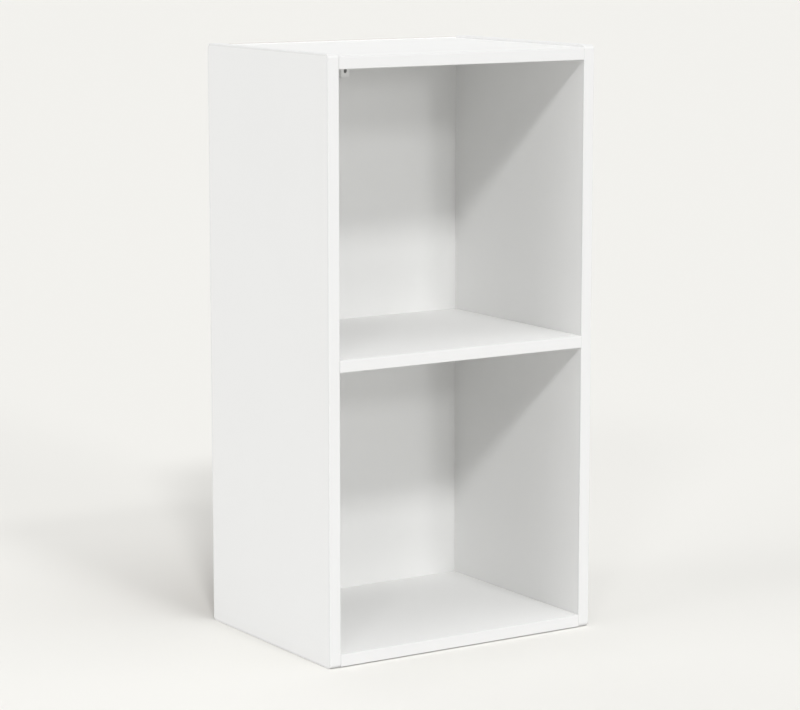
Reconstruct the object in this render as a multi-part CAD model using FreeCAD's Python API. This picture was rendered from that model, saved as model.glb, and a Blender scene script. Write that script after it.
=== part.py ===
import FreeCAD, Part
import os

# Open bookcase with two compartments, one above the other, in white melamine-faced board.
# Two full-height sides carry a top, a middle shelf and a bottom on wooden dowels. Cam fittings
# in the top and the bottom pull the sides together, and so clamp the shelf too. A thin
# hardboard back lies in a rebate of the sides and is nailed on.
# X runs across the front, Y from the front to the back, Z up. Sizes are in millimetres, and
# the origin lies on the floor under the middle of the bookcase.

# Overall size and boards
height = 720.0
width = 376.0
depth = 280.0
board = 15.0  # thickness of the sides, the top, the shelf and the bottom
top_inset = 3.0  # from the upper ends of the sides down to the top
floor_gap = 1.0  # from the floor, on which the sides stand, up to the bottom
corner_radius = 5.0  # corners of the sides, as seen from the side

# Edge banding, all round each side and along the front of each horizontal panel
band = 2.0
band_bevel = 0.9  # along the long edges of the banding

# Back panel and the rebate that it lies in
back = 3.0
back_recess = 1.0  # from the rear edge of the sides to the back panel
back_end_gap = 1.5  # from each end of the sides to the back panel
rebate_width = 8.0
rebate_gap = 0.5

# Drilling pattern of the panels' ends: two dowels, with a cam midway in the top and the bottom
dowel_margin = 41.0  # from the front and the rear edge of a panel to the nearest dowel
fit_gap = 0.1  # radial, round a bolt's thread and round a dowel

# Cam bolt: a thread in the side, a shank in the panel's bore and a head in the cam
bolt_reach = 24.0  # from the side's inner face to the axis of the cam
thread_radius = 3.0
thread_length = 11.0
shank_radius = 3.5
neck_radius = 2.0
head_radius = 3.4
head_seat = 4.0  # from the cam's axis to the head's shoulder
head_length = 2.6
bore_gap = 0.5  # radial, round the widest part of the bolt, in the panel's bore
hole_end_gap = 0.5  # at the blind end of a bolt's or a dowel's hole

# Cam lock: a cup with an eccentric wall that pulls on the bolt's head as it turns
cam_radius = 7.4
cam_gap = 0.2  # round the cam and above it, in its pocket
cam_above_bolt = 4.5
cavity_offset = 0.75  # from the cam's axis to the axis of its cavity
cavity_gap = 0.24  # between the cavity's wall and the shoulder of the bolt's head
cavity_floor_gap = 0.5  # below the bolt's head
neck_gap = 0.2
entry_gap = 0.3
cam_turn = 180.0  # degrees from locked to released
slot_margin = 45.0  # degrees past the locked bolt, which the head's flank needs
drive_length = 8.0
drive_width = 1.6
drive_depth = 2.2
arrow_tip = 6.6
arrow_length = 1.7
arrow_width = 2.2
arrow_depth = 0.5

# Wooden dowels, fluted: the flutes are flats
flats_per_dowel = 10
dowel_radius = 4.0
dowel_length = 30.0
dowel_in_side = 10.0

# Nails of the back panel
flats_per_nail = 4
flats_per_nail_head = 6
nail_radius = 0.8
nail_length = 20.0
nail_head_radius = 2.0
nail_head = 0.6
nails_per_side = 5
nail_end_distance = 40.0  # from each end of the sides to the nearest nail
nail_spacing = 170.0  # between the two nails in the rear edge of each panel

# Moulded bracket under the top, at mid-width, with a slot for a wall screw
bracket_width = 13.0
bracket_depth = 10.0
bracket_height = 29.0
bracket_front = 2.5  # thickness of the slotted face
bracket_wall = 2.0
bracket_rounding = 1.0
leg_length = 18.0
leg_thickness = 3.0
slot_width = 3.8
slot_end = 5.0  # from the bracket's lower edge to the slot
slot_top_margin = 6.0
wall_hole_radius = 3.0

# Pan-head screw that holds the bracket to the underside of the top
screw_radius = 1.75
screw_length = 14.0
screw_head_radius = 3.5
screw_head = 1.8
screw_gap = 0.1

Vector = FreeCAD.Vector
ALONG_X = Vector(1, 0, 0)
ALONG_Y = Vector(0, 1, 0)
ALONG_Z = Vector(0, 0, 1)
ORIGIN = Vector(0, 0, 0)
SPARE = 1.0  # how far a cutting tool runs past the face that it opens
TINY = 1e-6  # below this a length counts as none

# Planes that follow from the sizes
outer_x = width / 2
inner_x = outer_x - board
front_y = -depth / 2
rear_y = depth / 2
panel_front_y = front_y + band
back_rear_y = rear_y - back_recess
back_front_y = back_rear_y - back

# Underside of each horizontal panel
bottom_level = floor_gap
top_level = height - top_inset - board
shelf_level = (bottom_level + top_level) / 2
levels = {"bottom": bottom_level, "shelf": shelf_level, "top": top_level}
cam_levels = {"bottom": bottom_level, "top": top_level}

# Joints: the cam bolts and the dowels lie at half the board's thickness
bolt_height = board / 2
cam_height = bolt_height + cam_above_bolt
cam_x = inner_x - bolt_reach
bore_radius = max(shank_radius, head_radius) + bore_gap
neck_slot = neck_radius + neck_gap  # half of its height
cam_y = (panel_front_y + back_front_y) / 2
dowel_rows = [panel_front_y + dowel_margin, back_front_y - dowel_margin]
hands = {"left": -1, "right": 1}

# The slot for the bolt's neck also takes the middle of its head, so the cavity's wall only has
# to clear the shoulder of the head above and below that slot
shoulder_square = (head_seat + cavity_offset) ** 2 + head_radius ** 2 - neck_slot ** 2
cavity_radius = shoulder_square ** 0.5 + cavity_gap


def box(low, high):
    """Box between two corners."""
    size = [upper - lower for lower, upper in zip(low, high)]
    return Part.makeBox(size[0], size[1], size[2], Vector(*low))


def cylinder(radius, length, base, direction):
    return Part.makeCylinder(radius, length, Vector(*base), direction)


def prism(flats, radius, length, base, direction):
    """Regular prism about a line from its base point."""
    across = ALONG_Z if abs(direction.z) < 0.5 else ALONG_X
    start = Vector(*base)
    turn = 360 / flats
    corners = []
    for index in range(flats):
        spoke = FreeCAD.Rotation(direction, (index + 0.5) * turn).multVec(across)
        corners.append(start + spoke * radius)
    return Part.Face(Part.makePolygon(corners + corners[:1])).extrude(direction * length)


def turned(profile, axis):
    """Solid of revolution about an axis through the origin.

    The profile holds (distance along the axis, radius) pairs and is closed along the axis.
    """
    across = ALONG_Z if axis == ALONG_X else ALONG_X
    points = [axis * along + across * radius for along, radius in profile]
    face = Part.Face(Part.makePolygon(points + points[:1]))
    return face.revolve(ORIGIN, axis, 360)


def on_hand(shape, hand):
    """Turns a shape that is made for the right side to the given side."""
    if hand > 0:
        return shape.copy()
    return shape.rotated(ORIGIN, ALONG_Z, 180)


def moved(shape, x, y, z):
    return shape.translated(Vector(x, y, z))


def straight_edges(shape, direction):
    """Edges of a box-like shape that run along a direction."""
    found = []
    for edge in shape.Edges:
        run = edge.Vertexes[-1].Point - edge.Vertexes[0].Point
        if run.Length > TINY and run.cross(direction).Length < TINY * run.Length:
            found.append(edge)
    return found


def rounded_box(low, high, direction, radius):
    """Box whose four edges along a direction are rounded."""
    plain = box(low, high)
    return plain.makeFillet(radius, straight_edges(plain, direction))


# Sides


def side_outline(margin):
    """The right side's solid, inset all round by a margin."""
    low = (inner_x, front_y + margin, margin)
    high = (outer_x, rear_y - margin, height - margin)
    return rounded_box(low, high, ALONG_X, corner_radius - margin)


def rebate_tool():
    low = (inner_x - SPARE, back_front_y, -SPARE)
    high = (inner_x + rebate_width, rear_y + SPARE, height + SPARE)
    return box(low, high)


def side_board():
    """Right side without its banding: rebate, bolt holes and dowel holes."""
    tools = [rebate_tool()]
    bolt_hole = thread_length + hole_end_gap
    dowel_hole = dowel_in_side + hole_end_gap
    for level in levels.values():
        for y in dowel_rows:
            tools.append(dowel_tool(dowel_hole, (inner_x, y, level + bolt_height), ALONG_X))
    for level in cam_levels.values():
        mouth = (inner_x, cam_y, level + bolt_height)
        tools.append(cylinder(thread_radius + fit_gap, bolt_hole, mouth, ALONG_X))
    return side_outline(band).cut(tools)


def side_band():
    """Banding round the right side: a closed strip with bevelled long edges."""
    outside = side_outline(0)
    rims = [edge for edge in outside.Edges if edge.BoundBox.XLength < TINY]
    strip = outside.makeChamfer(band_bevel, rims).cut(side_outline(band))
    return strip.cut(rebate_tool())


# Horizontal panels


def panel(level):
    """Top, shelf or bottom, with the dowel holes in its ends."""
    slab = box((-inner_x, panel_front_y, level), (inner_x, back_front_y, level + board))
    dowel_hole = dowel_length - dowel_in_side + hole_end_gap
    tools = []
    for hand in hands.values():
        for y in dowel_rows:
            mouth = (hand * inner_x, y, level + bolt_height)
            tools.append(dowel_tool(dowel_hole, mouth, ALONG_X * -hand))
    return slab.cut(tools)


def cam_panel(level):
    """Top or bottom: each end also has a bore for the bolt, and a pocket for the cam below it."""
    tools = []
    for hand in hands.values():
        mouth = (hand * inner_x, cam_y, level + bolt_height)
        tools.append(cylinder(bore_radius, bolt_reach, mouth, ALONG_X * -hand))
        pocket_base = (hand * cam_x, cam_y, level)
        tools.append(cylinder(cam_radius + cam_gap, cam_height + cam_gap, pocket_base, ALONG_Z))
    return panel(level).cut(tools)


def top_panel():
    """The top also has the pilot hole of the bracket's screw."""
    radius = screw_radius + screw_gap
    depth_in_top = screw_length - leg_thickness + hole_end_gap
    pilot = cylinder(radius, depth_in_top, (0, screw_y, top_level), ALONG_Z)
    return cam_panel(top_level).cut(pilot)


def front_band(level):
    """Banding on a panel's front edge, bevelled along its upper and lower edge."""
    strip = box((-inner_x, front_y, level), (inner_x, panel_front_y, level + board))
    rims = [edge for edge in straight_edges(strip, ALONG_X) if edge.BoundBox.YMax < panel_front_y]
    return strip.makeChamfer(band_bevel, rims)


# Cam fittings


def cam_lock():
    """Cam with its axis on Z, its lower face at zero and its locked bolt towards +X.

    The wall is thickest at the locked bolt and thinnest half a turn on, at the entry hole, and
    a slot for the bolt's neck runs between the two.
    """
    floor = bolt_height - head_radius - cavity_floor_gap
    cup = cylinder(cam_radius, cam_height, (0, 0, 0), ALONG_Z)
    cavity = cylinder(cavity_radius, cam_height, (-cavity_offset, 0, floor), ALONG_Z)
    slot_base = Vector(0, 0, bolt_height - neck_slot)
    sweep = cam_turn + slot_margin
    slot = Part.makeCylinder(cam_radius + SPARE, 2 * neck_slot, slot_base, ALONG_Z, sweep)
    slot.rotate(ORIGIN, ALONG_Z, -slot_margin)
    entry = cylinder(head_radius + entry_gap, cam_radius + SPARE, (0, 0, bolt_height), ALONG_X)
    entry.rotate(ORIGIN, ALONG_Z, cam_turn)
    half_length = drive_length / 2
    half_width = drive_width / 2
    blade = box((-half_length, -half_width, -SPARE), (half_length, half_width, drive_depth))
    drive = blade.fuse(blade.rotated(ORIGIN, ALONG_Z, 90))
    arrow_base = arrow_tip - arrow_length
    corners = [
        Vector(arrow_tip, 0, -SPARE),
        Vector(arrow_base, arrow_width / 2, -SPARE),
        Vector(arrow_base, -arrow_width / 2, -SPARE),
    ]
    arrow = Part.Face(Part.makePolygon(corners + corners[:1])).extrude(ALONG_Z * (SPARE + arrow_depth))
    return cup.cut([cavity, slot, entry, drive, arrow])


def cam_bolt():
    """Bolt along +X, with the cam's axis at the origin and its thread at the far end."""
    profile = [
        (head_seat - head_length, 0),
        (head_seat - head_length, head_radius),
        (head_seat, head_radius),
        (head_seat, neck_radius),
        (cam_radius + hole_end_gap, neck_radius),
        (cam_radius + hole_end_gap, shank_radius),
        (bolt_reach, shank_radius),
        (bolt_reach, thread_radius),
        (bolt_reach + thread_length, thread_radius),
        (bolt_reach + thread_length, 0),
    ]
    return turned(profile, ALONG_X)


def dowel():
    """Dowel along +X from the inner face of a side, with its far end in the side."""
    start = dowel_in_side - dowel_length
    return prism(flats_per_dowel, dowel_radius, dowel_length, (start, 0, 0), ALONG_X)


def dowel_tool(length, mouth, direction):
    """Hole for a dowel, from its mouth inwards."""
    return prism(flats_per_dowel, dowel_radius + fit_gap, length, mouth, direction)


def joint_group(shape, x, rows, level):
    """Copies of a fitting at both ends of one panel, as separate solids."""
    z = level + bolt_height
    copies = []
    for hand in hands.values():
        for y in rows:
            copies.append(moved(on_hand(shape, hand), hand * x, y, z))
    return Part.makeCompound(copies)


# Back panel and its nails


def back_panel():
    reach = inner_x + rebate_width - rebate_gap
    low = (-reach, back_front_y, back_end_gap)
    high = (reach, back_rear_y, height - back_end_gap)
    hole = cylinder(wall_hole_radius, depth, (0, 0, slot_middle_z), ALONG_Y)
    return box(low, high).cut(hole)


def back_nails():
    """Nails into the rebates of the sides and into the rear edges of the panels."""
    places = []
    step = (height - 2 * nail_end_distance) / (nails_per_side - 1)
    for hand in hands.values():
        for index in range(nails_per_side):
            places.append((hand * (inner_x + rebate_width / 2), nail_end_distance + index * step))
        for level in levels.values():
            places.append((hand * nail_spacing / 2, level + board / 2))
    shank = prism(flats_per_nail, nail_radius, nail_length, (0, -nail_length, 0), ALONG_Y)
    nail = shank.fuse(prism(flats_per_nail_head, nail_head_radius, nail_head, (0, 0, 0), ALONG_Y))
    return Part.makeCompound([moved(nail, x, back_rear_y, z) for x, z in places])


# Wall bracket

bracket_front_y = back_front_y - bracket_depth
bracket_low_z = top_level - bracket_height
screw_y = bracket_front_y - leg_length / 2
slot_low_z = bracket_low_z + slot_end + slot_width / 2
slot_high_z = top_level - slot_top_margin - slot_width / 2
slot_middle_z = (slot_low_z + slot_high_z) / 2


def wall_bracket():
    """Open-backed box with a slotted face, and a leg that is screwed to the top."""
    half = bracket_width / 2
    housing = box((-half, bracket_front_y, bracket_low_z), (half, back_front_y, top_level))
    uprights = straight_edges(housing, ALONG_Z)
    rims = [edge for edge in uprights if edge.BoundBox.YMin < bracket_front_y + bracket_front]
    housing = housing.makeFillet(bracket_rounding, rims)
    inside = half - bracket_wall
    hollow_low = (-inside, bracket_front_y + bracket_front, bracket_low_z + bracket_wall)
    hollow = box(hollow_low, (inside, back_front_y + SPARE, top_level - leg_thickness))
    leg_low = (-half, bracket_front_y - leg_length, top_level - leg_thickness)
    leg = box(leg_low, (half, bracket_front_y + bracket_front, top_level))
    slot_half = slot_width / 2
    slot_start = bracket_front_y - SPARE
    slot_length = bracket_front + 2 * SPARE
    slot_end_y = slot_start + slot_length
    slot = box((-slot_half, slot_start, slot_low_z), (slot_half, slot_end_y, slot_high_z))
    tools = [hollow, slot, bracket_screw(screw_gap)]
    for z in (slot_low_z, slot_high_z):
        tools.append(cylinder(slot_half, slot_length, (0, slot_start, z), ALONG_Y))
    return housing.fuse(leg).cut(tools).removeSplitter()


def bracket_screw(gap=0):
    """Screw, pointing up, with its head on the leg's lower face; its shank is grown by a gap."""
    seat = (0, screw_y, top_level - leg_thickness)
    shank = cylinder(screw_radius + gap, screw_length, seat, ALONG_Z)
    return shank.fuse(cylinder(screw_head_radius, screw_head, seat, -ALONG_Z))


# Every sub-part, by the name of its file


def build_nodes():
    nodes = {}
    right_board = side_board()
    right_band = side_band()
    nodes["side_right"] = right_board
    nodes["side_left"] = right_board.mirror(ORIGIN, ALONG_X)
    nodes["side_right_edge_band"] = right_band
    nodes["side_left_edge_band"] = right_band.mirror(ORIGIN, ALONG_X)
    nodes["bottom_panel"] = cam_panel(bottom_level)
    nodes["middle_shelf"] = panel(shelf_level)
    nodes["top_panel"] = top_panel()
    for place, level in levels.items():
        nodes[place + "_front_band"] = front_band(level)
        nodes[place + "_dowels"] = joint_group(dowel(), inner_x, dowel_rows, level)
    for place, level in cam_levels.items():
        nodes[place + "_cam_bolts"] = joint_group(cam_bolt(), cam_x, [cam_y], level)
        for side_name, hand in hands.items():
            cam = moved(on_hand(cam_lock(), hand), hand * cam_x, cam_y, level)
            nodes["_".join([place, "cam", side_name])] = cam
    nodes["back_panel"] = back_panel()
    nodes["back_nails"] = back_nails()
    nodes["wall_bracket"] = wall_bracket()
    nodes["bracket_screw"] = bracket_screw()
    return nodes


os.makedirs("parts", exist_ok=True)
for name, shape in build_nodes().items():
    shape.exportStep("parts/" + name + ".step")
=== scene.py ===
import math

import bmesh
import bpy
from mathutils import Matrix, Vector


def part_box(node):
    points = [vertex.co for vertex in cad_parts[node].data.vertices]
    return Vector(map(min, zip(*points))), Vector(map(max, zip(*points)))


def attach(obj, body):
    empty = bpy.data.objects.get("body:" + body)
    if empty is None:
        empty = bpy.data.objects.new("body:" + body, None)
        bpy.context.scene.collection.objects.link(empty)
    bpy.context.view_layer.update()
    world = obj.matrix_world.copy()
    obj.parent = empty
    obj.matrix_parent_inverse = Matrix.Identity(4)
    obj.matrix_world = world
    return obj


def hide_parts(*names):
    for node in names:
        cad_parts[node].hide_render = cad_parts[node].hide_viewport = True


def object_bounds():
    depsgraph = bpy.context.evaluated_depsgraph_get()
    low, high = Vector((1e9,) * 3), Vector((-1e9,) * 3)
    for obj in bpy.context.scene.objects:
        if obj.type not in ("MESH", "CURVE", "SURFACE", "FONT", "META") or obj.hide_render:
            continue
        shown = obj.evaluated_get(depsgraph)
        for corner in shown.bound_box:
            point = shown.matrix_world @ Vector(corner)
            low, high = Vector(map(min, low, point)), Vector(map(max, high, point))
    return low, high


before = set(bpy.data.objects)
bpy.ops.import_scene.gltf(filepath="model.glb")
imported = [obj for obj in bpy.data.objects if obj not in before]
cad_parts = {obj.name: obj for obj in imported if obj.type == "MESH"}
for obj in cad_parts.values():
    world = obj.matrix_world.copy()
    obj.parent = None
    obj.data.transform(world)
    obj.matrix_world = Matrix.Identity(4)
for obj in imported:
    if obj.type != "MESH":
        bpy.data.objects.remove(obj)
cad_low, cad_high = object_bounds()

# An open bookcase in white melamine board: two banded sides, a top, a fixed shelf and a bottom,
# a nailed hardboard back, and a small moulded wall bracket under the top.
# Lengths are in metres unless a name ends in _MM or _mm. X runs across the front, Y to the back
# and Z up.

MM = 0.001

# Sizes that several pieces share, from the frame where it has them

side_low, side_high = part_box("side_right")
band_low, band_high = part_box("side_right_edge_band")
back_low, back_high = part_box("back_panel")
INNER_X = side_low.x
OUTER_X = side_high.x
BOARD = OUTER_X - INNER_X
BAND = side_low.y - band_low.y  # thickness of the edge banding
CORNER = 5 * MM  # corner radius of a side over its banding
CORNER_STEPS = 10  # points round such a corner
EDGE_ROUNDING = 0.9 * MM  # rounding of the banding's long edges
ROUNDING_STEPS = 6  # points round such an edge
REBATE = 8 * MM  # width of the rebate in which the back lies
PANELS = ("bottom_panel", "middle_shelf", "top_panel")


# Node trees, for finishes and for shapes


class Flow:
    """What flows through a node tree: a socket whose operators add Math nodes."""

    def __init__(self, graph, socket):
        self.graph = graph
        self.socket = socket

    def beside(self, name):
        """Another output of the same node."""
        return Flow(self.graph, self.socket.node.outputs[name])

    def math(self, operation, *others, clamp=False):
        values = dict(enumerate((self,) + others))
        settings = {"operation": operation, "use_clamp": clamp}
        return self.graph.node("ShaderNodeMath", settings, values)

    def __add__(self, other):
        return self.math("ADD", other)

    def __sub__(self, other):
        return self.math("SUBTRACT", other)

    def __rsub__(self, other):
        return self.graph.node("ShaderNodeMath", {"operation": "SUBTRACT"}, {0: other, 1: self})

    def __mul__(self, other):
        return self.math("MULTIPLY", other)

    def __truediv__(self, other):
        return self.math("DIVIDE", other)

    def __abs__(self):
        return self.math("ABSOLUTE")

    __radd__ = __add__
    __rmul__ = __mul__

    def above(self, edge, soft):
        """0 below an edge and 1 above it, over a soft width."""
        return ((self - (edge - soft / 2)) / soft).math("ADD", 0.0, clamp=True)

    def near(self, place, reach):
        """1 within a reach of a place, and 0 beyond it."""
        return self.math("COMPARE", place, reach)


class Graph:
    """A node tree under construction."""

    def __init__(self, tree):
        self.tree = tree

    def node(self, kind, settings=None, values=None, output=0):
        """Adds a node: its settings come first, then a value or a link for each input."""
        made = self.tree.nodes.new(kind)
        for name, setting in (settings or {}).items():
            if name == "stops":
                self.set_stops(made.color_ramp.elements, setting)
            else:
                setattr(made, name, setting)
        for name, value in (values or {}).items():
            self.feed(made.inputs[name], value)
        return Flow(self, made.outputs[output] if made.outputs else None)

    def set_stops(self, elements, stops):
        while len(elements) < len(stops):
            elements.new(1.0)
        for element, (place, colour) in zip(elements, stops):
            element.position = place
            element.color = colour + (1.0,)

    def feed(self, target, value):
        if isinstance(value, Flow):
            self.tree.links.new(value.socket, target)
        else:
            target.default_value = value

    def vector(self, x, y, z):
        return self.node("ShaderNodeCombineXYZ", None, {"X": x, "Y": y, "Z": z})

    def mixed(self, factor, first, second):
        """Colour that goes from the first to the second with the factor."""
        values = {0: factor}
        for name, colour in ((6, first), (7, second)):
            values[name] = colour if isinstance(colour, Flow) else colour + (1.0,)
        return self.node("ShaderNodeMix", {"data_type": "RGBA"}, values, 2)


# Finishes


class Finish(Graph):
    """A material that reads the piece's own place in the bookcase."""

    def __init__(self, name):
        self.material = bpy.data.materials.new(name)
        self.material.use_nodes = True
        super().__init__(self.material.node_tree)
        self.shader = self.tree.nodes["Principled BSDF"]
        self.place = self.node("ShaderNodeTexCoord", output="Object")
        self.axes = self.split(self.place)

    def split(self, vector):
        first = self.node("ShaderNodeSeparateXYZ", None, {0: vector})
        return [first.beside(axis) for axis in range(3)]

    def bend(self):
        """Mask for painted shade on roundings: 0 on faces square to the axes, and 1 where a
        rounding lies half-way between two.
        """
        facing = self.node("ShaderNodeTexCoord", output="Normal")
        across, along, up = (abs(part) for part in self.split(facing))
        squareness = across.math("MAXIMUM", along).math("MAXIMUM", up)
        return (1 - squareness) / (1 - math.cos(math.radians(45)))

    def noise(self, scale, detail=2.0, stretch=(1, 1, 1)):
        """Noise between 0 and 1 with features of about 1/scale metres."""
        stretched = self.node("ShaderNodeMapping", None, {0: self.place, "Scale": stretch})
        values = {"Vector": stretched, "Scale": scale, "Detail": detail}
        return self.node("ShaderNodeTexNoise", None, values)

    def bump(self, height, strength, distance):
        values = {"Height": height, "Strength": strength, "Distance": distance}
        self.feed(self.shader.inputs["Normal"], self.node("ShaderNodeBump", None, values))

    def surface(self, colour, roughness, **constants):
        self.feed(self.shader.inputs["Base Color"], colour)
        self.feed(self.shader.inputs["Roughness"], roughness)
        for name, value in constants.items():
            self.shader.inputs[name.replace("_", " ")].default_value = value
        return self.material


MELAMINE_WHITE = (0.835, 0.835, 0.828)
MELAMINE_CLOUD = (0.823, 0.824, 0.816)
SEAM_GREY = (0.55, 0.55, 0.53)
BANDING_WHITE = (0.796, 0.796, 0.792)
BANDING_CLOUD = (0.784, 0.785, 0.780)
# grey of the shade painted on the banding's roundings
BANDING_ROUNDING_SHADE = (0.68, 0.68, 0.674)
LACQUER_WHITE = (0.833, 0.834, 0.825)
LACQUER_CLOUD = (0.819, 0.820, 0.810)
PLASTIC_WHITE = (0.95, 0.95, 0.94)
PLASTIC_CLOUD = (0.93, 0.93, 0.92)
BEECH_PALE = (0.68, 0.48, 0.30)
BEECH_DARK = (0.50, 0.32, 0.18)
BEECH_FLECK = (0.36, 0.21, 0.11)
CHIP_COLOURS = (
    (0.0, (0.32, 0.20, 0.10)),
    (0.35, (0.52, 0.36, 0.20)),
    (0.7, (0.66, 0.50, 0.31)),
    (1.0, (0.78, 0.64, 0.44)),
)
FIBRE_COLOURS = (
    (0.35, (0.135, 0.078, 0.042)),
    (0.62, (0.235, 0.145, 0.082)),
    (0.95, (0.335, 0.225, 0.135)),
)
CHIPS_PER_METRE = 620.0
ON_FACE = 0.1 * MM  # how near to a board's face its facing reaches
SEAM = 0.2 * MM  # a panel's seam at its joints: how far it reaches in, and its soft width
SIDE_BAND_SEAM = 0.16 * MM  # how far the seam along the banding reaches into a side
PANEL_BAND_SEAM = 0.14 * MM  # and into a panel
BAND_SEAM_SOFT = 0.12 * MM  # soft width of both
LACQUER_DEPTH = 0.2 * MM  # how far the back's white reaches behind its front face
LACQUER_SOFT = 0.1 * MM


def chipboard(finish):
    """Colour of the raw particle board that a bore or a rebate lays open."""
    values = {"Vector": finish.place, "Scale": CHIPS_PER_METRE}
    chips = finish.node("ShaderNodeTexVoronoi", {"feature": "F1"}, values, "Color")
    shade = finish.node("ShaderNodeSeparateColor", None, {0: chips})
    return finish.node("ShaderNodeValToRGB", {"stops": CHIP_COLOURS}, {0: shade})


def rounded_outline(finish):
    """Signed distance to a side's outline inside its banding, in metres; negative inside."""
    radius = CORNER - BAND
    half = (side_high - side_low) / 2
    middle = (side_high + side_low) / 2
    reach = []
    for axis in (1, 2):
        reach.append(abs(finish.axes[axis] - middle[axis]) - (half[axis] - radius))
    along, up = (value.math("MAXIMUM", 0.0) for value in reach)
    outside = (along * along + up * up).math("SQRT")
    inside = reach[0].math("MAXIMUM", reach[1]).math("MINIMUM", 0.0)
    return outside + inside - radius


def melamine(name, faced, seams):
    """White melamine on the faced sides of a board, chipboard elsewhere, with fine dark seams."""
    finish = Finish(name)
    cloud = finish.noise(7.0, 3.0)
    white = finish.mixed(cloud, MELAMINE_WHITE, MELAMINE_CLOUD)
    seam = seams(finish)
    white = finish.mixed(seam, white, SEAM_GREY)
    cover = faced(finish)
    colour = finish.mixed(cover, chipboard(finish), white)
    pearl = finish.noise(1800.0, 2.0) + 0.6 * finish.noise(520.0, 1.0)
    grain = finish.noise(900.0, 3.0) * (1 - cover) * 6.0
    finish.bump(pearl + grain - seam * 4.0, 0.12, 0.03 * MM)
    rubbed = finish.noise(36.0, 4.0)
    roughness = 0.83 + 0.08 * rubbed + 0.06 * (1 - cover)
    return finish.surface(colour, roughness, IOR=1.34)


def faced_at(distance, places):
    """1 on the two faces of a board, which lie at two places along one axis."""
    first, second = (distance.near(place, ON_FACE) for place in places)
    return first.math("ADD", second, clamp=True)


def side_melamine():
    """The sides are faced on their two large faces, and a seam follows their banding."""

    def faced(finish):
        return faced_at(abs(finish.axes[0]), (INNER_X, OUTER_X))

    def seams(finish):
        return rounded_outline(finish).above(-SIDE_BAND_SEAM, BAND_SEAM_SOFT)

    return melamine("side_melamine", faced, seams)


def panel_melamine(node):
    """A panel is faced above and below; seams follow its banding and its joints to the sides."""
    low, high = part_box(node)

    def faced(finish):
        return faced_at(finish.axes[2], (low.z, high.z))

    def seams(finish):
        front = 1 - finish.axes[1].above(low.y + PANEL_BAND_SEAM, BAND_SEAM_SOFT)
        rear = finish.axes[1].above(high.y - SEAM, SEAM)
        ends = abs(finish.axes[0]).above(high.x - SEAM, SEAM)
        return front.math("MAXIMUM", rear).math("MAXIMUM", ends)

    return melamine(node + "_melamine", faced, seams)


def edge_banding():
    """White plastic banding, scraped square to X, with painted shade that darkens its roundings,
    most where they face half-way between two axes.
    """
    finish = Finish("edge_banding")
    cloud = finish.noise(11.0, 2.0)
    white = finish.mixed(cloud, BANDING_WHITE, BANDING_CLOUD)
    # Painted shade: the roundings turn towards a darker grey, most where they face half-way between
    # two axes
    colour = finish.mixed(finish.bend(), white, BANDING_ROUNDING_SHADE)
    scrape = finish.noise(2600.0, 2.0, (1, 0.02, 0.02)) + 0.5 * finish.noise(1500.0, 1.0)
    finish.bump(scrape, 0.08, 0.02 * MM)
    roughness = 0.78 + 0.07 * finish.noise(60.0, 3.0)
    return finish.surface(colour, roughness, IOR=1.34)


def hardboard():
    """Thin back: white lacquer inside, plain brown fibre behind and on its edges."""
    finish = Finish("hardboard_back")
    lacquer = 1 - finish.axes[1].above(back_low.y + LACQUER_DEPTH, LACQUER_SOFT)
    cloud = finish.noise(5.0, 3.0, (1, 1, 0.6))
    white = finish.mixed(cloud, LACQUER_WHITE, LACQUER_CLOUD)
    strands = finish.noise(420.0, 5.0, (1, 1, 0.35))
    fibre = strands + 0.5 * finish.noise(1600.0, 3.0, (0.3, 1, 1))
    shade = fibre / 1.5 + 0.06 * cloud
    brown = finish.node("ShaderNodeValToRGB", {"stops": FIBRE_COLOURS}, {0: shade})
    colour = finish.mixed(lacquer, brown, white)
    roller = finish.noise(700.0, 2.0, (1, 1, 0.5))
    finish.bump(roller * lacquer * 0.5 + fibre * (1 - lacquer) * 2.5, 0.15, 0.04 * MM)
    roughness = 0.44 + 0.08 * cloud + 0.26 * (1 - lacquer)
    return finish.surface(colour, roughness, IOR=1.49)


def moulded_plastic():
    """White moulded plastic with a fine eroded texture."""
    finish = Finish("moulded_plastic")
    colour = finish.mixed(finish.noise(90.0, 2.0), PLASTIC_WHITE, PLASTIC_CLOUD)
    finish.bump(finish.noise(5200.0, 3.0), 0.16, 0.02 * MM)
    roughness = 0.2 + 0.1 * finish.noise(700.0, 2.0)
    return finish.surface(colour, roughness, IOR=1.59)


def metal(name, light, dark, scale, roughness, stretch=(1, 1, 1)):
    """Bare or plated metal, clouded and finely scratched."""
    finish = Finish(name)
    cloud = finish.noise(scale, 4.0)
    scratch = finish.noise(scale * 9.0, 2.0, stretch)
    colour = finish.mixed(cloud, light, dark)
    finish.bump(scratch, 0.2, 0.015 * MM)
    return finish.surface(colour, roughness + 0.16 * scratch + 0.08 * cloud, Metallic=1.0)


def beech():
    """Raw beech with its grain along X and short darker flecks."""
    finish = Finish("beech")
    grain = finish.noise(900.0, 4.0, (0.06, 1, 1))
    fleck = finish.noise(1500.0, 2.0, (0.2, 1, 1)).above(0.66, 0.08)
    colour = finish.mixed(grain, BEECH_PALE, BEECH_DARK)
    colour = finish.mixed(fleck, colour, BEECH_FLECK)
    finish.bump(grain, 0.3, 0.05 * MM)
    return finish.surface(colour, 0.62 + 0.12 * grain)


SQUARE_TO_X = (1, 0.1, 0.1)  # stretch of scratches that run square to X, so round the bolts

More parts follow.
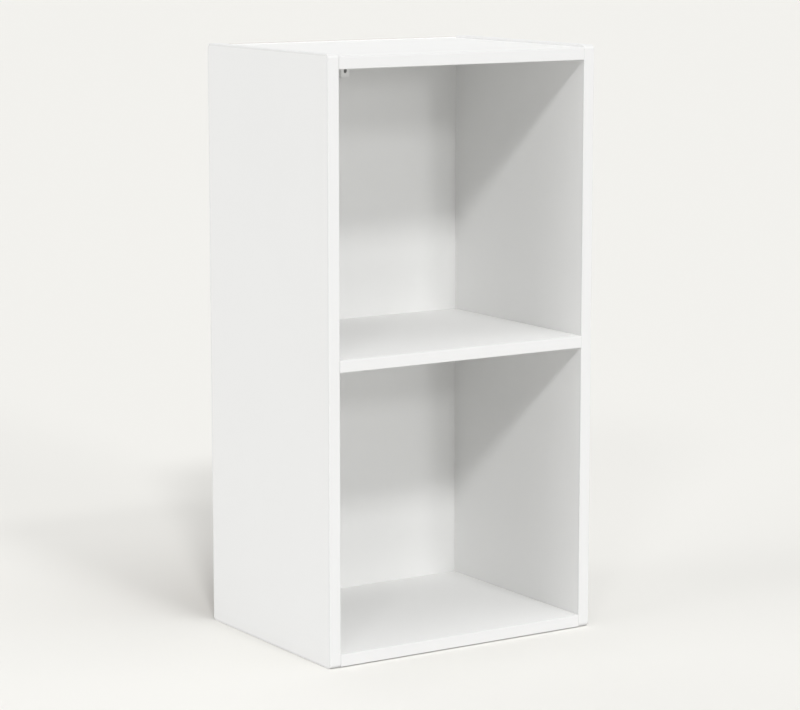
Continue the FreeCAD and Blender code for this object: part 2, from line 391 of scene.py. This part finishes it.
FINISHES = {
    "side_melamine": side_melamine(),
    "edge_banding": edge_banding(),
    "hardboard": hardboard(),
    "moulded_plastic": moulded_plastic(),
    "zinc": metal("die_cast_zinc", (0.66, 0.66, 0.64), (0.48, 0.48, 0.47), 420.0, 0.34),
    "plated_steel": metal(
        "plated_steel", (0.70, 0.69, 0.66), (0.52, 0.51, 0.48), 300.0, 0.24, SQUARE_TO_X
    ),
    "nail_steel": metal("nail_steel", (0.58, 0.58, 0.57), (0.38, 0.38, 0.38), 500.0, 0.36),
    "beech": beech(),
}
for panel in PANELS:
    FINISHES[panel] = panel_melamine(panel)

NODE_FINISHES = {
    "side_left": "side_melamine",
    "side_right": "side_melamine",
    "side_left_edge_band": "edge_banding",
    "side_right_edge_band": "edge_banding",
    "bottom_front_band": "edge_banding",
    "shelf_front_band": "edge_banding",
    "top_front_band": "edge_banding",
    "back_panel": "hardboard",
    "back_nails": "nail_steel",
    "wall_bracket": "moulded_plastic",
    "bracket_screw": "plated_steel",
}
for panel in PANELS:
    NODE_FINISHES[panel] = panel
for place in ("bottom", "shelf", "top"):
    NODE_FINISHES[place + "_dowels"] = "beech"
for place in ("bottom", "top"):
    NODE_FINISHES[place + "_cam_bolts"] = "plated_steel"
    for side in ("left", "right"):
        NODE_FINISHES["_".join([place, "cam", side])] = "zinc"


def dress_nodes():
    """Gives every node of the frame its finish."""
    for node, finish in NODE_FINISHES.items():
        for material_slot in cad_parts[node].material_slots:
            material_slot.material = FINISHES[finish]


# Shapes


class Shape(Graph):
    """A Geometry Nodes tree with named sizes."""

    def __init__(self, name, sizes):
        super().__init__(bpy.data.node_groups.new(name, "GeometryNodeTree"))
        self.sizes = sizes
        self.tree.interface.new_socket(
            name="Shape", in_out="OUTPUT", socket_type="NodeSocketGeometry"
        )
        for size, value in sizes.items():
            kind = "NodeSocketVector" if isinstance(value, Vector) else "NodeSocketFloat"
            self.tree.interface.new_socket(name=size, in_out="INPUT", socket_type=kind)
        self.inputs = self.tree.nodes.new("NodeGroupInput")

    def size(self, name):
        return Flow(self, self.inputs.outputs[name])

    def line(self, start, end):
        return self.node("GeometryNodeCurvePrimitiveLine", None, {0: start, 1: end})

    def rounded(self, outline, steps, radius):
        """A curve with its corners rounded."""
        values = {0: outline, "Count": steps, "Radius": radius}
        return self.node("GeometryNodeFilletCurve", {"mode": "POLY"}, values)

    def swept(self, path, section, **values):
        """A section swept along a path."""
        return self.node("GeometryNodeCurveToMesh", None, {0: path, 1: section, **values})

    def moved(self, geometry, place, turn=(0.0, 0.0, 0.0)):
        values = {0: geometry, "Translation": place, "Rotation": turn}
        return self.node("GeometryNodeTransform", None, values)

    def piece(self, made):
        """The geometry of a piece that is made already."""
        return self.node("GeometryNodeObjectInfo", None, {"Object": made}, "Geometry")

    def copies(self, points, made, turn=(0.0, 0.0, 0.0)):
        """A copy of a piece at each point."""
        values = {"Points": points, "Instance": self.piece(made), "Rotation": turn}
        return self.node("GeometryNodeInstanceOnPoints", None, values)

    def joined(self, parts):
        whole = self.node("GeometryNodeJoinGeometry")
        for part in parts:
            self.feed(whole.socket.node.inputs[0], part)
        return whole

    def finished(self, geometry, finish):
        """Ends the tree with real geometry in one finish."""
        real = self.node("GeometryNodeRealizeInstances", None, {0: geometry})
        values = {0: real, "Material": FINISHES[finish]}
        painted = self.node("GeometryNodeSetMaterial", None, values)
        self.node("NodeGroupOutput", None, {0: painted})

    def build(self, name):
        """A plain mesh object made by the tree with its sizes."""
        piece = new_piece(name, bpy.data.meshes.new(name))
        modifier = piece.modifiers.new("shape", "NODES")
        modifier.node_group = self.tree
        for socket in self.tree.interface.items_tree:
            if socket.in_out == "INPUT":
                modifier[socket.identifier] = self.sizes[socket.name]
        return settled(piece)


def new_piece(name, mesh):
    piece = bpy.data.objects.new(name, mesh)
    bpy.context.scene.collection.objects.link(piece)
    return piece


def drop(piece):
    bpy.data.objects.remove(piece)


SHARP_ABOVE = 35.0  # degrees between two faces, above which their edge stays sharp


def settled(piece):
    """Turns a piece's modifiers into a plain mesh, smooth across all but its sharp edges."""
    evaluated = piece.evaluated_get(bpy.context.evaluated_depsgraph_get())
    mesh = bpy.data.meshes.new_from_object(evaluated)
    mesh.name = piece.name
    piece.modifiers.clear()
    piece.data = mesh
    mesh.shade_smooth()
    mesh.set_sharp_from_angle(angle=math.radians(SHARP_ABOVE))
    return piece


def weighted(piece):
    """Keeps flat faces flat beside their rounded edges."""
    modifier = piece.modifiers.new("flat_faces", "WEIGHTED_NORMAL")
    modifier.keep_sharp = True
    modifier.weight = 100
    return settled(piece)


def stand_in(piece, node, body):
    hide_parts(node)
    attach(piece, body)


# Banding

BAND_SIZES = {"Thickness": BAND, "Width": BOARD, "Rounding": EDGE_ROUNDING}
FRONT_BANDS = {
    "bottom_front_band": "bottom_edge_banding",
    "shelf_front_band": "shelf_edge_banding",
    "top_front_band": "top_edge_banding",
}


def banding_section(shape):
    """Section of banding: X runs out from the board's edge, and Y across the board."""
    thick = shape.size("Thickness")
    wide = shape.size("Width")
    corners = {
        "Point 1": shape.vector(0.0, 0.0, 0.0),
        "Point 2": shape.vector(thick, 0.0, 0.0),
        "Point 3": shape.vector(thick, wide, 0.0),
        "Point 4": shape.vector(0.0, wide, 0.0),
    }
    kind = "GeometryNodeCurvePrimitiveQuadrilateral"
    section = shape.node(kind, {"mode": "POINTS"}, corners)
    outer = shape.node("GeometryNodeInputIndex").near(1.5, 0.6)  # corners 1 and 2 of 0 to 3
    return shape.rounded(section, ROUNDING_STEPS, outer * shape.size("Rounding"))


def side_banding(hand, name):
    """Banding round a side: one closed strip, cut away where the back's rebate passes."""
    across = REBATE * 2
    deep = (band_high.y - back_low.y) * 2
    tall = (band_high.z - band_low.z) * 2
    middle = (side_high + side_low) / 2
    face_x = OUTER_X if hand > 0 else -INNER_X
    shape = Shape(name + "_shape", {
        **BAND_SIZES,
        "Depth": side_high.y - side_low.y,
        "Height": side_high.z - side_low.z,
        "Corner": CORNER - BAND,
        "Place": Vector((face_x, middle.y, middle.z)),
        "Rebate": Vector((across, deep, tall)),
        "Rebate place": Vector((hand * INNER_X, band_high.y, middle.z)),
    })
    values = {"Width": shape.size("Depth"), "Height": shape.size("Height")}
    kind = "GeometryNodeCurvePrimitiveQuadrilateral"
    outline = shape.node(kind, {"mode": "RECTANGLE"}, values)
    outline = shape.rounded(outline, CORNER_STEPS, shape.size("Corner"))
    upright = (math.radians(90), 0.0, math.radians(90))
    strip = shape.moved(
        shape.swept(outline, banding_section(shape)), shape.size("Place"), upright
    )
    cutter = shape.node("GeometryNodeMeshCube", None, {"Size": shape.size("Rebate")})
    cutter = shape.moved(cutter, shape.size("Rebate place"))
    settings = {"operation": "DIFFERENCE", "solver": "EXACT"}
    strip = shape.node("GeometryNodeMeshBoolean", settings, {0: strip, 1: cutter})
    shape.finished(strip, "edge_banding")
    return weighted(shape.build(name))


def front_banding(node, name):
    """Banding along a panel's front edge, between the sides."""
    low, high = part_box(node)
    shape = Shape(name + "_shape", {
        **BAND_SIZES,
        "Start": Vector((low.x, high.y, high.z)),
        "End": Vector((high.x, high.y, high.z)),
    })
    line = shape.line(shape.size("Start"), shape.size("End"))
    strip = shape.swept(line, banding_section(shape), **{"Fill Caps": True})
    shape.finished(strip, "edge_banding")
    return weighted(shape.build(name))


def make_banding():
    for hand, side in ((-1, "left"), (1, "right")):
        piece = side_banding(hand, side + "_side_edge_banding")
        stand_in(piece, "side_" + side + "_edge_band", "carcass")
    for node, name in FRONT_BANDS.items():
        stand_in(front_banding(node, name), node, "carcass")


# Fittings. Profiles hold (along, radius) pairs about the X axis, and begin and end on it.

THREAD_PITCH = 1.25 * MM
THREAD_DEPTH = 0.35 * MM
THREAD_STEPS = 20  # points in each turn of a thread


def in_metres(profile_mm):
    return [(along * MM, radius * MM) for along, radius in profile_mm]


def turned(name, profile, finish, segments=32):
    """A piece turned about X from its profile."""
    grown = bmesh.new()
    rings = []
    for along, radius in profile:
        if radius == 0:
            rings.append([grown.verts.new((along, 0, 0))] * segments)
            continue
        ring = []
        for index in range(segments):
            turn = 2 * math.pi * index / segments
            place = (along, radius * math.cos(turn), radius * math.sin(turn))
            ring.append(grown.verts.new(place))
        rings.append(ring)
    for ring, after in zip(rings, rings[1:]):
        for index in range(segments):
            follows = (index + 1) % segments
            corners = [ring[index], ring[follows], after[follows], after[index]]
            grown.faces.new(list(dict.fromkeys(corners)))
    bmesh.ops.recalc_face_normals(grown, faces=grown.faces)
    mesh = bpy.data.meshes.new(name)
    grown.to_mesh(mesh)
    grown.free()
    mesh.materials.append(FINISHES[finish])
    return new_piece(name, mesh)


def joint_places(name, x, spread, rows, y, z):
    """Points at both ends of a panel, in one row or more."""
    shape = Shape(name + "_places", {
        "Across": 2 * x,
        "Spread": spread,
        "Middle": Vector((0.0, y, z)),
    })
    values = {
        "Size X": shape.size("Across"),
        "Size Y": shape.size("Spread"),
        "Vertices X": 2,
        "Vertices Y": rows,
    }
    grid = shape.node("GeometryNodeMeshGrid", None, values)
    return shape, shape.moved(grid, shape.size("Middle"))


def set_out(name, piece, places, finish):
    """Copies of one piece at the points of a shape; those on the left get a half turn."""
    shape, points = places
    across = shape.node("ShaderNodeSeparateXYZ", None, {0: shape.node("GeometryNodeInputPosition")})
    half_turn = shape.vector(0.0, 0.0, across.math("LESS_THAN", 0.0) * math.pi)
    shape.finished(shape.copies(points, piece, half_turn), finish)
    made = shape.build(name)
    drop(piece)
    return made


def threaded(name, core, start, length, crest, finish):
    """A turned core with a thread wound round part of it, from a start along X."""
    shape = Shape(name + "_shape", {
        "Turns": length / THREAD_PITCH,
        "Radius": crest - THREAD_DEPTH,
        "Length": length,
        "Thread": THREAD_DEPTH,
        "Start": Vector((start, 0.0, 0.0)),
    })
    values = {
        "Resolution": THREAD_STEPS,
        "Rotations": shape.size("Turns"),
        "Start Radius": shape.size("Radius"),
        "End Radius": shape.size("Radius"),
        "Height": shape.size("Length"),
    }
    spiral = shape.node("GeometryNodeCurveSpiral", None, values)
    values = {"Resolution": 3, "Radius": shape.size("Thread")}
    ridge = shape.node("GeometryNodeCurvePrimitiveCircle", None, values)
    thread = shape.swept(spiral, ridge, **{"Fill Caps": True})
    thread = shape.moved(thread, shape.size("Start"), (0.0, math.radians(90), 0.0))
    shape.finished(shape.joined([thread, shape.piece(core)]), finish)
    made = shape.build(name)
    drop(core)
    return made


NAIL_LENGTH = 20 * MM
NAIL_POINT = 1.6 * MM
NAIL_RADIUS = 0.8 * MM
NAIL_HEAD_RADIUS = 2.0 * MM
NAIL_HEAD = 0.6 * MM
NAIL_SEGMENTS = 20
NAILS_PER_SIDE = 5
NAIL_END = 40 * MM  # from each end of the sides to the nearest nail
NAIL_SPACING = 170 * MM  # between the two nails of each panel


def back_nails():
    """Nails of the back: a column down each side and a pair into each panel."""
    profile = [
        (-NAIL_LENGTH, 0),
        (-NAIL_LENGTH + NAIL_POINT, NAIL_RADIUS),
        (0, NAIL_RADIUS),
        (0, NAIL_HEAD_RADIUS * 0.94),
        (0.12 * MM, NAIL_HEAD_RADIUS),
        (0.3 * MM, NAIL_HEAD_RADIUS),
        (0.46 * MM, NAIL_HEAD_RADIUS * 0.9),
        (0.56 * MM, NAIL_HEAD_RADIUS * 0.55),
        (NAIL_HEAD, 0),
    ]
    nail = turned("nail", profile, "nail_steel", NAIL_SEGMENTS)
    nail.data.transform(Matrix.Rotation(math.radians(90), 4, "Z"))
    step = (cad_high.z - cad_low.z - 2 * NAIL_END) / (NAILS_PER_SIDE - 1)
    column_x = INNER_X + REBATE / 2
    rows = {}
    for hand, side in ((-1, "left"), (1, "right")):
        foot = Vector((hand * column_x, back_high.y, NAIL_END))
        rows["Foot " + side] = (foot, NAILS_PER_SIDE, "Step up")
    for panel in PANELS:
        low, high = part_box(panel)
        first = Vector((-NAIL_SPACING / 2, back_high.y, (low.z + high.z) / 2))
        rows["First of " + panel] = (first, 2, "Step across")
    shape = Shape("back_nail_places", {
        "Step up": Vector((0.0, 0.0, step)),
        "Step across": Vector((NAIL_SPACING, 0.0, 0.0)),
        **{name: first for name, (first, _, _) in rows.items()},
    })
    lines = []
    for name, (_, count, step_name) in rows.items():
        values = {
            "Count": count,
            "Start Location": shape.size(name),
            "Offset": shape.size(step_name),
        }
        lines.append(shape.node("GeometryNodeMeshLine", {"mode": "OFFSET"}, values))
    shape.finished(shape.copies(shape.joined(lines), nail), "nail_steel")
    made = shape.build("back_nail_set")
    drop(nail)
    return made


DOWEL_RADIUS = 4.0 * MM
DOWEL_IN_SIDE = 10 * MM
DOWEL_IN_PANEL = 20 * MM
DOWEL_EASE = 1.4 * MM  # length over which an end is eased
DOWEL_END = 0.84  # radius of an eased end, as a share of the dowel's
DOWEL_RINGS = 44  # rings of points along a dowel
FLUTES = 24
FLUTE_DEPTH = 0.24 * MM


def fluted_dowel():
    """One dowel along X about the joint: grooved along its length, with its ends eased."""
    shape = Shape("dowel_shape", {
        "Start": Vector((-DOWEL_IN_PANEL, 0.0, 0.0)),
        "End": Vector((DOWEL_IN_SIDE, 0.0, 0.0)),
        "Radius": DOWEL_RADIUS,
        "Groove": FLUTE_DEPTH,
        "Ease": DOWEL_EASE,
        "Length": DOWEL_IN_PANEL + DOWEL_IN_SIDE,
    })
    line = shape.line(shape.size("Start"), shape.size("End"))
    values = {"Curve": line, "Count": DOWEL_RINGS}
    line = shape.node("GeometryNodeResampleCurve", None, values)
    values = {"Resolution": FLUTES * 2, "Radius": shape.size("Radius")}
    circle = shape.node("GeometryNodeCurvePrimitiveCircle", None, values)
    odd = shape.node("GeometryNodeInputIndex").math("MODULO", 2.0)
    shrink = 1 - odd * (shape.size("Groove") / shape.size("Radius"))
    values = {0: shape.node("GeometryNodeInputPosition"), "Scale": shrink}
    grooved = shape.node("ShaderNodeVectorMath", {"operation": "SCALE"}, values)
    profile = shape.node("GeometryNodeSetPosition", None, {0: circle, "Position": grooved})
    along = shape.node("GeometryNodeSplineParameter", output="Length")
    to_end = along.math("MINIMUM", shape.size("Length") - along)
    short = 1 - (to_end / shape.size("Ease")).math("MINIMUM", 1.0)
    scale = DOWEL_END + (1 - DOWEL_END) * (1 - short * short)
    dowel = shape.swept(line, profile, **{"Scale": scale, "Fill Caps": True})
    shape.finished(dowel, "beech")
    return shape.build("dowel")


BOLT_TIP_MM = 35.0  # from the cam's axis
BOLT_PROFILE_MM = [
    # Head, with eased rims
    (1.4, 0),
    (1.4, 3.0),
    (1.7, 3.35),
    (3.85, 3.4),
    (4.0, 3.25),
    # Neck
    (4.0, 2.2),
    (4.3, 2.0),
    (7.9, 2.0),
    # Shank
    (7.9, 3.3),
    (8.1, 3.5),
    (23.7, 3.5),
    (24.0, 3.2),
    # Core of the thread
    (24.0, 2.35),
    (34.2, 2.35),
    (BOLT_TIP_MM, 1.5),
    (BOLT_TIP_MM, 0),
]
BOLT_THREAD_START = 24.5 * MM
BOLT_THREAD = 9.8 * MM  # length of the thread
BOLT_CREST = 3.0 * MM  # radius over the thread


def cam_bolt():
    """One bolt along X from the cam's axis."""
    core = turned("bolt_core", in_metres(BOLT_PROFILE_MM), "plated_steel")
    return threaded(
        "cam_bolt", core, BOLT_THREAD_START, BOLT_THREAD, BOLT_CREST, "plated_steel"
    )


SCREW_HEAD_MM = 1.8
SCREW_SEGMENTS = 40
SCREW_THREAD_START = 1.2 * MM
SCREW_THREAD = 10.5 * MM  # length of the thread
SCREW_CREST = 1.75 * MM  # radius over the thread
RECESS_PROFILE_MM = [(-2.4, 0), (-2.4, 1.9), (-0.5, 0.8), (-0.5, 0)]
RECESS_FLATNESS = 0.24  # thickness of each arm of the cross, as a share of its width


def cross_recess(screw):
    """Cuts a tapered cross into a screw's head."""
    for turn in (0, 90):
        cutter = turned("recess", in_metres(RECESS_PROFILE_MM), "plated_steel", 4)
        cutter.data.transform(Matrix.Rotation(math.radians(45), 4, "X"))
        cutter.data.transform(Matrix.Diagonal((1, RECESS_FLATNESS, 1, 1)))
        cutter.data.transform(Matrix.Rotation(math.radians(turn), 4, "X"))
        cut = screw.modifiers.new("recess", "BOOLEAN")
        cut.operation = "DIFFERENCE"
        cut.solver = "EXACT"
        cut.object = cutter
        settled(screw)
        drop(cutter)


def bracket_screw():
    """Pan-head screw, upwards through the bracket's leg, with a cross recess."""
    low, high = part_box("bracket_screw")
    radius_mm = (high.x - low.x) / 2 / MM
    profile_mm = [
        # Domed head
        (-SCREW_HEAD_MM, 0),
        (-1.78, radius_mm * 0.45),
        (-1.6, radius_mm * 0.76),
        (-1.2, radius_mm * 0.95),
        (-0.7, radius_mm),
        (-0.06, radius_mm),
        (0, radius_mm * 0.96),
        # Core of the thread, down to its point
        (0, 1.4),
        (12.4, 1.35),
        (14.0, 0),
    ]
    core = turned("screw_core", in_metres(profile_mm), "plated_steel", SCREW_SEGMENTS)
    cross_recess(core)
    screw = threaded(
        "bracket_fixing_screw", core, SCREW_THREAD_START, SCREW_THREAD, SCREW_CREST, "plated_steel"
    )
    seat_z = low.z + SCREW_HEAD_MM * MM
    seat = Vector(((low.x + high.x) / 2, (low.y + high.y) / 2, seat_z))
    upright = Matrix.Rotation(math.radians(-90), 4, "Y")
    screw.data.transform(Matrix.Translation(seat) @ upright)
    return screw


BRACKET_EASE = 0.35 * MM
CAM_EASE = 0.12 * MM
EASED_ABOVE = 40  # degrees between two faces, above which their edge is eased
FLAT_BELOW = 1  # degrees between two faces, below which they become one
MERGED_WITHIN = 0.001 * MM


def softened(node, name, width, finish):
    """A node's own form with its sharp edges eased."""
    grown = bmesh.new()
    grown.from_mesh(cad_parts[node].data)
    bmesh.ops.remove_doubles(grown, verts=grown.verts, dist=MERGED_WITHIN)
    bmesh.ops.dissolve_limit(
        grown, angle_limit=math.radians(FLAT_BELOW), verts=grown.verts, edges=grown.edges
    )
    mesh = bpy.data.meshes.new(name)
    grown.to_mesh(mesh)
    grown.free()
    mesh.materials.clear()
    mesh.materials.append(FINISHES[finish])
    piece = new_piece(name, mesh)
    bevel = piece.modifiers.new("eased_edges", "BEVEL")
    bevel.width = width
    bevel.segments = 2
    bevel.limit_method = "ANGLE"
    bevel.angle_limit = math.radians(EASED_ABOVE)
    return weighted(settled(piece))


def make_fittings():
    stand_in(back_nails(), "back_nails", "carcass")
    stand_in(bracket_screw(), "bracket_screw", "carcass")
    bracket = softened("wall_bracket", "moulded_wall_bracket", BRACKET_EASE, "moulded_plastic")
    stand_in(bracket, "wall_bracket", "carcass")
    for place in ("bottom", "shelf", "top"):
        low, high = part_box(place + "_dowels")
        spread = high.y - low.y - 2 * DOWEL_RADIUS
        middle = (low + high) / 2
        places = joint_places(place + "_dowel", INNER_X, spread, 2, middle.y, middle.z)
        dowels = set_out(place + "_fluted_dowels", fluted_dowel(), places, "beech")
        stand_in(dowels, place + "_dowels", "carcass")
    for place in ("bottom", "top"):
        low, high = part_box(place + "_cam_bolts")
        middle = (low + high) / 2
        cam_x = high.x - BOLT_TIP_MM * MM
        places = joint_places(place + "_bolt", cam_x, 0.0, 1, middle.y, middle.z)
        bolts = set_out(place + "_threaded_bolts", cam_bolt(), places, "plated_steel")
        stand_in(bolts, place + "_cam_bolts", "carcass")
        for side in ("left", "right"):
            node = "_".join([place, "cam", side])
            cam = softened(node, node + "_casting", CAM_EASE, "zinc")
            stand_in(cam, node, node + "_lock")


# Room, light and camera

BACKGROUND = (0.9047, 0.8963, 0.8632)
FLOOR_COLOUR = (0.822, 0.814, 0.784)
FLOOR_BOUNCE = (0.75, 0.745, 0.73)  # what the floor gives back to the object
FLOOR_HALF = 60.0  # half the floor's width
AMBIENT = (0.2, 0.2, 0.2)

# Level, azimuth, elevation and softness in degrees; a level of 1 is full daylight on a face
LAMPS = {
    "left_wall": (0.38, -96, 15, 45),
    "ceiling": (0.42, 35, 76, 50),
    "key": (0.09, 4, 48, 6),
    "left_front": (0.29, -25, 37, 6),
    "far_left_front": (0.08, -45, 30, 8),
    "low_front": (0.09, 8, 8, 7),
    "front": (0.11, 0, 20, 7),
    "rear_high": (0.06, 180, 50, 50),
}
LAMP_DISTANCE = 3.0

CAMERA_PLACE = (-1.87628, -2.90736, 0.90030)
CAMERA_HEADING = 32.8345  # degrees from +Y towards +X
CAMERA_TILT = 9.2173  # degrees downwards
CAMERA_LENS_MM = 128.16
CAMERA_SENSOR_MM = 36.0  # width of the sensor


def seen_directly(graph):
    """1 for what the camera sees, also by reflection or through glass, and 0 for light."""
    seen = graph.node("ShaderNodeLightPath", output="Is Camera Ray")
    glossy = seen.beside("Is Glossy Ray")
    through = seen.beside("Is Transmission Ray")
    return seen.math("MAXIMUM", glossy).math("MAXIMUM", through)


def make_floor():
    """Plain pale floor that runs on past the view."""
    finish = Finish("pale_floor")
    colour = finish.mixed(seen_directly(finish), FLOOR_BOUNCE, FLOOR_COLOUR)
    material = finish.surface(colour, 0.9, Specular_IOR_Level=0.0)
    mesh = bpy.data.meshes.new("floor")
    grown = bmesh.new()
    bmesh.ops.create_grid(grown, x_segments=1, y_segments=1, size=FLOOR_HALF)
    grown.to_mesh(mesh)
    grown.free()
    mesh.materials.append(material)
    floor = new_piece("floor", mesh)
    floor.location.z = cad_low.z


def make_world():
    """Even white light, with the background's own colour where the camera looks past the floor."""
    world = bpy.data.worlds.new("studio")
    world.use_nodes = True
    bpy.context.scene.world = world
    world.node_tree.nodes.clear()
    sky = Graph(world.node_tree)
    colour = sky.mixed(seen_directly(sky), AMBIENT, BACKGROUND)
    light = sky.node("ShaderNodeBackground", None, {"Color": colour, "Strength": 1.0})
    sky.node("ShaderNodeOutputWorld", None, {"Surface": light})


def make_lamp(name, level, azimuth, elevation, softness):
    """Far soft lamp; azimuth 0 stands before the front, and grows to the viewer's right."""
    lamp = bpy.data.lights.new(name, "SUN")
    lamp.energy = level * math.pi
    lamp.angle = math.radians(softness)
    sun = bpy.data.objects.new(name, lamp)
    turn = math.radians(azimuth)
    rise = math.radians(elevation)
    forward = -math.cos(turn) * math.cos(rise)
    towards = Vector((math.sin(turn) * math.cos(rise), forward, math.sin(rise)))
    sun.rotation_euler = towards.to_track_quat("Z", "Y").to_euler()
    sun.location = towards * LAMP_DISTANCE
    bpy.context.scene.collection.objects.link(sun)


def make_camera():
    data = bpy.data.cameras.new("camera")
    data.lens = CAMERA_LENS_MM
    data.sensor_width = CAMERA_SENSOR_MM
    camera = bpy.data.objects.new("camera", data)
    camera.location = CAMERA_PLACE
    upwards = math.radians(90 - CAMERA_TILT)
    camera.rotation_euler = (upwards, 0.0, math.radians(-CAMERA_HEADING))
    bpy.context.scene.collection.objects.link(camera)
    bpy.context.scene.camera = camera


bpy.context.scene.view_settings.view_transform = "Standard"
dress_nodes()
make_banding()
make_fittings()
make_floor()
make_world()
for name, lamp in LAMPS.items():
    make_lamp(name, *lamp)
make_camera()
